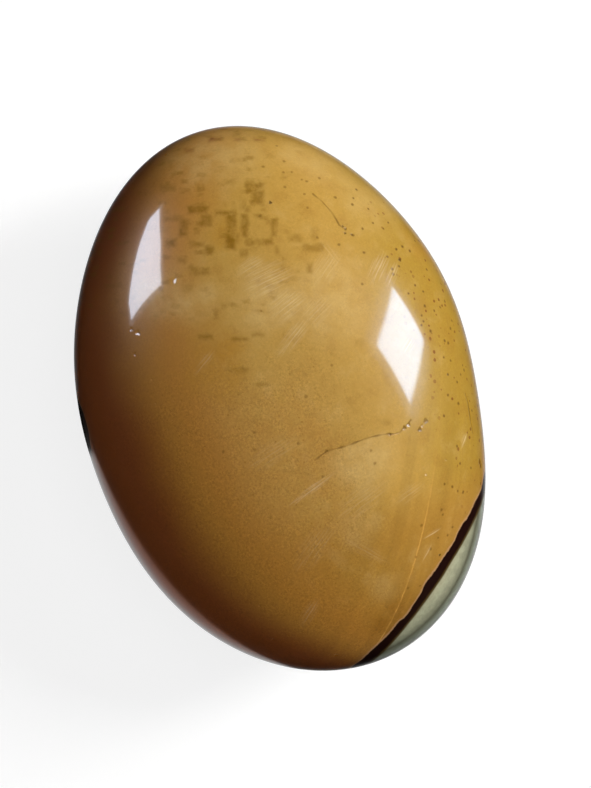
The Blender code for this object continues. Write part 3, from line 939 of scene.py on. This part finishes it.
NEAR_WAY = (0.073, -0.879, 0.472)
NEAR_CORNERS = ((0.126, -0.101), (-0.025, -0.185), (-0.122, 0.080), (0.021, 0.190))
NEAR_EDGES = (0.026, 0.065)
near_window = window("near_window", NEAR_WAY, NEAR_CORNERS, *NEAR_EDGES, 0.12, 15.5, (0.54, 0.73, 1.0))
near_window.visible_diffuse = False
near_daylight = window("near_daylight", NEAR_WAY, NEAR_CORNERS, *NEAR_EDGES, 0.0, 32.0, (1.0, 0.98, 0.96))
near_daylight.visible_glossy = False
FAR_WAY = (0.664, 0.627, 0.409)
FAR_CORNERS = (
    (-0.178, -0.090), (-0.081, 0.076), (0.018, 0.174), (0.174, 0.018), (0.138, -0.030), (-0.112, -0.115),
)
FAR_EDGES = (0.006, 0.030)
far_window = window("far_window", FAR_WAY, FAR_CORNERS, *FAR_EDGES, 0.16, 11.8, (0.74, 0.83, 1.0))
far_window.visible_diffuse = False

OVERHEAD_SIZE = 1.2
OVERHEAD_HEIGHT = 1.2
OVERHEAD_RADIANCE = 1.25
overhead_data = bpy.data.lights.new("overhead", "AREA")
overhead_data.size = OVERHEAD_SIZE
overhead_data.energy = OVERHEAD_RADIANCE * math.pi * OVERHEAD_SIZE**2
overhead = bpy.data.objects.new("overhead", overhead_data)
overhead.location = (0.0, 0.0, OVERHEAD_HEIGHT)
overhead.visible_glossy = False
bpy.context.scene.collection.objects.link(overhead)

sky = bpy.data.worlds.new("sky")
sky.use_nodes = True
sky_tree = sky.node_tree
sky_way = sky_tree.nodes.new("ShaderNodeTexCoord").outputs["Generated"]
sky_height = joined(sky_tree, "ShaderNodeSeparateXYZ", {0: sky_way}).outputs[2]
sky_level = steer(sky_tree, "NORMALIZE", steer(sky_tree, "MULTIPLY", sky_way, (1.0, 1.0, 0.0)))
BELOW_GLOW = (-0.76, -1.05, 0.0, 0.5)
BELOW_NEAR_SIDE = (-0.4, 0.4, 0.35, 1.0)
UPPER_SKY = (-0.2, 0.2, 0.0, 0.02)
near_side = steer(sky_tree, "DOT_PRODUCT", sky_level, (0.0, -1.0, 0.0), output=1)
below_stone = ease(sky_tree, sky_height, *BELOW_GLOW)
below_glow = reckon(sky_tree, "MULTIPLY", below_stone, ease(sky_tree, near_side, *BELOW_NEAR_SIDE))
# the low end's glow: an arch about this bearing, highest at its middle, warm at its top and white below
LOW_END_BEARING = math.radians(118.0)
ARCH_HEIGHT = -0.42
ARCH_FALL = -1.2
ARCH_GLOW = (0.0, 0.12, 0.0, 0.56)
ARCH_WARM = (1.0, 0.55, 0.45, 1.0)
WARM_BELOW = (-0.5, -0.95)
WARM_ABOVE = (-0.4, -0.2)
SKY_WHITE = (1.0, 1.0, 1.0, 1.0)
low_end_way = (math.cos(LOW_END_BEARING), math.sin(LOW_END_BEARING), 0.0)
low_end_side = (-math.sin(LOW_END_BEARING), math.cos(LOW_END_BEARING), 0.0)
aside = steer(sky_tree, "DOT_PRODUCT", sky_level, low_end_side, output=1)
aside_squared = reckon(sky_tree, "MULTIPLY", aside, aside)
arch_edge = reckon(sky_tree, "MULTIPLY_ADD", aside_squared, ARCH_FALL, ARCH_HEIGHT)
arch_glow = ease(sky_tree, reckon(sky_tree, "SUBTRACT", arch_edge, sky_height), *ARCH_GLOW)
towards_low_end = steer(sky_tree, "DOT_PRODUCT", sky_level, low_end_way, output=1)
facing_low_end = reckon(sky_tree, "GREATER_THAN", towards_low_end, 0.0)
low_end_glow = reckon(sky_tree, "MULTIPLY", arch_glow, facing_low_end)
glow = reckon(sky_tree, "MAXIMUM", below_glow, low_end_glow)
# a dark gap beside the arch
GAP_BEARING = math.radians(84.0)
GAP_HALF = math.radians(6.0)
GAP_CORE = 0.7
GAP_REACH = 1.1
gap_way = (math.cos(GAP_BEARING), math.sin(GAP_BEARING), 0.0)
towards_gap = steer(sky_tree, "DOT_PRODUCT", sky_level, gap_way, output=1)
past_gap = ease(sky_tree, towards_gap, math.cos(GAP_CORE * GAP_HALF), math.cos(GAP_REACH * GAP_HALF))
glow = reckon(sky_tree, "MULTIPLY", glow, past_gap)
sky_light = reckon(sky_tree, "ADD", glow, ease(sky_tree, sky_height, *UPPER_SKY))
sky_colour = blend(sky_tree, ease(sky_tree, sky_height, *WARM_BELOW), ARCH_WARM, SKY_WHITE)
sky_colour = blend(sky_tree, ease(sky_tree, sky_height, *WARM_ABOVE), sky_colour, SKY_WHITE)
# seen directly, over the board's far edge, the sky is as pale as the board
sky_sight = sky_tree.nodes.new("ShaderNodeLightPath").outputs["Is Camera Ray"]
SKY_SEEN = 0.80
sky_light = reckon(sky_tree, "MAXIMUM", sky_light, reckon(sky_tree, "MULTIPLY", sky_sight, SKY_SEEN))
sky_tree.links.new(sky_colour, sky_tree.nodes["Background"].inputs["Color"])
sky_tree.links.new(sky_light, sky_tree.nodes["Background"].inputs["Strength"])
bpy.context.scene.world = sky
bpy.context.scene.view_settings.view_transform = "Standard"

bpy.context.view_layer.update()
